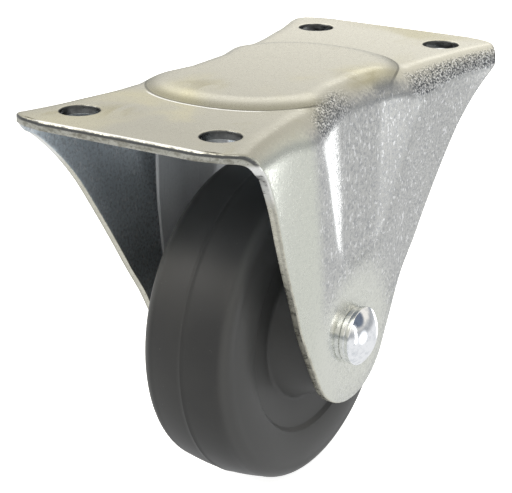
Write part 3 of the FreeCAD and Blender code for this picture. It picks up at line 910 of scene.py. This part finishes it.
def brightRivet():
    material, tree, shader = newMaterial("bright_zinc_rivet")
    mark = noiseAt(tree, objectCoords(tree)[0], 700.0, 3.0, 0.6)
    colour = mixColour(tree, mapRange(tree, mark, 0.4, 0.75), linearColour(brightFinish["bright"]),
                       linearColour(brightFinish["mark"]))
    tree.links.new(colour, shader.inputs["Base Color"])
    shader.inputs["Metallic"].default_value = 1.0
    smoothest, roughest = brightFinish["roughness"]
    tree.links.new(mapRange(tree, mark, 0.3, 0.8, smoothest, roughest), shader.inputs["Roughness"])
    addBump(tree, shader, mark, 0.12, 0.00005)
    return material


# Drawn steel tube for the sleeve and the bush: dull, with round tool marks
tubeFinish = {
    "light": "a9a9a6",
    "shade": "83837f",
    "roughness": 0.38,
}


def drawnTube():
    material, tree, shader = newMaterial("drawn_steel_tube")
    ring = noiseAt(tree, stretched(tree, objectCoords(tree)[0], (60.0, 1800.0, 60.0)), 1.0, 2.0, 0.5)
    colour = mixColour(tree, mapRange(tree, ring, 0.35, 0.7), linearColour(tubeFinish["light"]),
                       linearColour(tubeFinish["shade"]))
    tree.links.new(colour, shader.inputs["Base Color"])
    shader.inputs["Metallic"].default_value = 1.0
    shader.inputs["Roughness"].default_value = tubeFinish["roughness"]
    addBump(tree, shader, ring, 0.2, 0.00005)
    return material


# Moulded hard rubber: near-black satin with a soft sheen, its side walls painted paler as painted light,
# with dust in its grain
rubberFinish = {
    "base": "313131",
    "cloud": "373736",
    "paintedSideLight": "4b4b4a",
    "dust": "4b4a49",
    "paintedSideLightFrom": 0.0085,
    "paintedSideLightTo": 0.0105,
    "roughness": (0.38, 0.46),
    "gloss": 0.26,
}


def mouldedRubber():
    material, tree, shader = newMaterial("moulded_hard_rubber")
    coords, place = objectCoords(tree)
    cloud = noiseAt(tree, coords, 45.0, 3.0, 0.55)
    grain = noiseAt(tree, coords, 1300.0, 2.0, 0.6)
    colour = mixColour(tree, mapRange(tree, cloud, 0.35, 0.7), linearColour(rubberFinish["base"]),
                       linearColour(rubberFinish["cloud"]))
    # Painted light: the side walls are painted paler than the tread
    aside = maths(tree, "ABSOLUTE", place[1])
    paintedSideLight = mapRange(tree, aside, rubberFinish["paintedSideLightFrom"], rubberFinish["paintedSideLightTo"])
    colour = mixColour(tree, paintedSideLight, colour, linearColour(rubberFinish["paintedSideLight"]))
    colour = mixColour(tree, mapRange(tree, grain, 0.7, 0.8), colour, linearColour(rubberFinish["dust"]))
    shader.inputs["Specular IOR Level"].default_value = rubberFinish["gloss"]
    tree.links.new(colour, shader.inputs["Base Color"])
    smoothest, roughest = rubberFinish["roughness"]
    tree.links.new(mapRange(tree, cloud, 0.3, 0.7, smoothest, roughest), shader.inputs["Roughness"])
    height = maths(tree, "ADD", product(tree, grain, 0.4), noiseAt(tree, coords, 260.0, 2.0))
    addBump(tree, shader, height, 0.15, 0.00008)
    return material


sheetMetal = zincSheet()
cutMetal = shearedEdge()
rivetMetal = brightRivet()
tubeMetal = drawnTube()
rubber = mouldedRubber()

hornPiece = makeHorn()
hornPiece.data.materials.append(sheetMetal)
hornPiece.data.materials.append(cutMetal)
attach(hornPiece, "fork")
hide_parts("horn")
print("horn made", len(hornPiece.data.polygons))

wheelPiece = turnedPiece("wheel_moulding", wheelOutline(), rubber, wheel["turns"])
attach(wheelPiece, "rolling_wheel")
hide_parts("wheel")
print("wheel made", len(wheelPiece.data.polygons))

for name, outline, node in (
    ("rivet_turned", rivetOutline(), "axle_rivet"),
    ("head_washer_turned", washerOutline(-1.0), "head_washer"),
    ("end_washer_turned", washerOutline(1.0), "end_washer"),
):
    piece = turnedPiece(name, outline, rivetMetal, rivet["turns"])
    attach(piece, "fork")
    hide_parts(node)
for node in ("axle_sleeve", "hub_bush"):
    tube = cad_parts[node]
    tube.data.materials.clear()
    tube.data.materials.append(tubeMetal)
print("rivet, washers and tubes made")

# Floor, light and camera
setting = {
    "floorZ": -0.0965,
    "floorSize": 6.0,
    "floorColour": "e4e4e2",
    "floorGlow": 0.85,
    "cameraPlace": (-0.299823, -0.186918, 0.087838),
    "cameraTarget": (-0.007402, 0.0, -0.038631),
    "cameraRoll": 0.222,
    "lens": 113.945,
}


# The floor is pale and takes a faint shadow, and reflections look past it to the studio
def makeFloor():
    bpy.ops.mesh.primitive_plane_add(size=setting["floorSize"], location=(0.0, 0.0, setting["floorZ"]))
    floor = bpy.context.object
    floor.name = "pale_floor"
    material, tree, shader = newMaterial("pale_floor")
    shader.inputs["Base Color"].default_value = linearColour(setting["floorColour"])
    shader.inputs["Roughness"].default_value = 0.9
    shader.inputs["Emission Color"].default_value = (1.0, 1.0, 1.0, 1.0)
    shader.inputs["Emission Strength"].default_value = setting["floorGlow"]
    clear = tree.nodes.new("ShaderNodeBsdfTransparent").outputs[0]
    camera = tree.nodes.new("ShaderNodeLightPath").outputs["Is Camera Ray"]
    shown = addNode(tree, "ShaderNodeMixShader", {0: camera, 1: clear, 2: shader.outputs[0]}).outputs[0]
    tree.links.new(shown, tree.get_output_node("ALL").inputs["Surface"])
    floor.data.materials.append(material)


# Soft studio surroundings, white to the camera. Reflections find a bright room above and below, a darker
# horizon, bright soft boxes and dark cards. Each box and card has its direction, how near to it (as a
# cosine) it starts and is full, and its power or shade. Each lamp has its place, target, size, power and
# colour.
studio = {
    "horizon": "b4b6b8",
    "above": "f2efe8",
    "below": "ecedee",
    "boxes": [
        ((0.964, 0.09, -0.25), 0.981, 0.993, 3.4),
        ((0.34, -0.92, -0.2), 0.963, 0.99, 1.5),
        ((-0.55, 0.51, 0.66), 0.84, 0.94, 3.6),
    ],
    "cards": [
        ((0.25, -0.78, 0.574), 0.88, 0.95, "6f7887"),
        ((-0.83, 0.5, 0.22), 0.94, 0.985, "262a31"),
    ],
    "lamps": {
        "key": ((-0.35, -0.55, 0.6), (0.0, 0.0, -0.04), (0.5, 0.5), 0.8, (1.0, 0.99, 0.97)),
        "fill": ((-0.7, 0.35, 0.25), (0.0, 0.0, -0.04), (0.4, 0.5), 0.5, (0.95, 0.97, 1.0)),
        "back": ((0.55, 0.35, 0.45), (0.0, 0.0, -0.04), (0.5, 0.3), 0.3, (1.0, 1.0, 1.0)),
        "side": ((-0.03, -0.8, -0.05), (0.0, 0.0, -0.06), (0.08, 0.6), 0.35, (1.0, 1.0, 1.0)),
    },
}


def makeWorld():
    world = bpy.data.worlds.new("studio")
    scene.world = world
    world.use_nodes = True
    tree = world.node_tree
    tree.nodes.clear()
    direction = tree.nodes.new("ShaderNodeTexCoord").outputs["Generated"]
    height = addNode(tree, "ShaderNodeSeparateXYZ", {0: direction}).outputs[2]

    def nearness(aim, edge, full):
        aim = Vector(aim).normalized()
        facing = addNode(tree, "ShaderNodeVectorMath", {0: direction, 1: aim}, operation="DOT_PRODUCT")
        return mapRange(tree, facing.outputs["Value"], edge, full)

    colour = mixColour(tree, mapRange(tree, height, 0.05, 0.25), linearColour(studio["horizon"]),
                       linearColour(studio["above"]))
    colour = mixColour(tree, mapRange(tree, height, -0.02, -0.2), colour, linearColour(studio["below"]))
    for aim, edge, full, shade in studio["cards"]:
        colour = mixColour(tree, nearness(aim, edge, full), colour, linearColour(shade))
    strength = 1.0
    for aim, edge, full, power in studio["boxes"]:
        strength = maths(tree, "ADD", strength, product(tree, nearness(aim, edge, full), power))
    light = addNode(tree, "ShaderNodeBackground", {"Color": colour, "Strength": strength}).outputs[0]
    white = addNode(tree, "ShaderNodeBackground", {"Color": linearColour("ffffff")}).outputs[0]
    camera = tree.nodes.new("ShaderNodeLightPath").outputs["Is Camera Ray"]
    mixed = addNode(tree, "ShaderNodeMixShader", {0: camera, 1: light, 2: white}).outputs[0]
    addNode(tree, "ShaderNodeOutputWorld", {"Surface": mixed})


def makeLight(name, place, target, size, power, colour):
    lamp = bpy.data.lights.new(name, "AREA")
    lamp.shape = "RECTANGLE"
    lamp.size, lamp.size_y = size
    lamp.energy = power
    lamp.color = colour
    holder = bpy.data.objects.new(name, lamp)
    holder.location = place
    aim = Vector(target) - Vector(place)
    holder.rotation_euler = aim.to_track_quat("-Z", "Y").to_euler()
    scene.collection.objects.link(holder)


def makeCamera():
    lens = bpy.data.cameras.new("camera")
    lens.sensor_width = 36.0
    lens.sensor_fit = "HORIZONTAL"
    lens.lens = setting["lens"]
    lens.clip_start = 0.01
    camera = bpy.data.objects.new("camera", lens)
    place = Vector(setting["cameraPlace"])
    ahead = (Vector(setting["cameraTarget"]) - place).normalized()
    right = ahead.cross(Vector((0, 0, 1))).normalized()
    above = right.cross(ahead)
    turn = math.radians(setting["cameraRoll"])
    cosine, sine = math.cos(turn), math.sin(turn)
    right, above = right * cosine + above * sine, above * cosine - right * sine
    camera.matrix_world = Matrix((
        (right.x, above.x, -ahead.x, place.x),
        (right.y, above.y, -ahead.y, place.y),
        (right.z, above.z, -ahead.z, place.z),
        (0.0, 0.0, 0.0, 1.0),
    ))
    scene.collection.objects.link(camera)
    scene.camera = camera


makeFloor()
makeWorld()
for name, lamp in studio["lamps"].items():
    makeLight(name, *lamp)
makeCamera()
scene.view_settings.view_transform = "Standard"
print("floor, light and camera set")
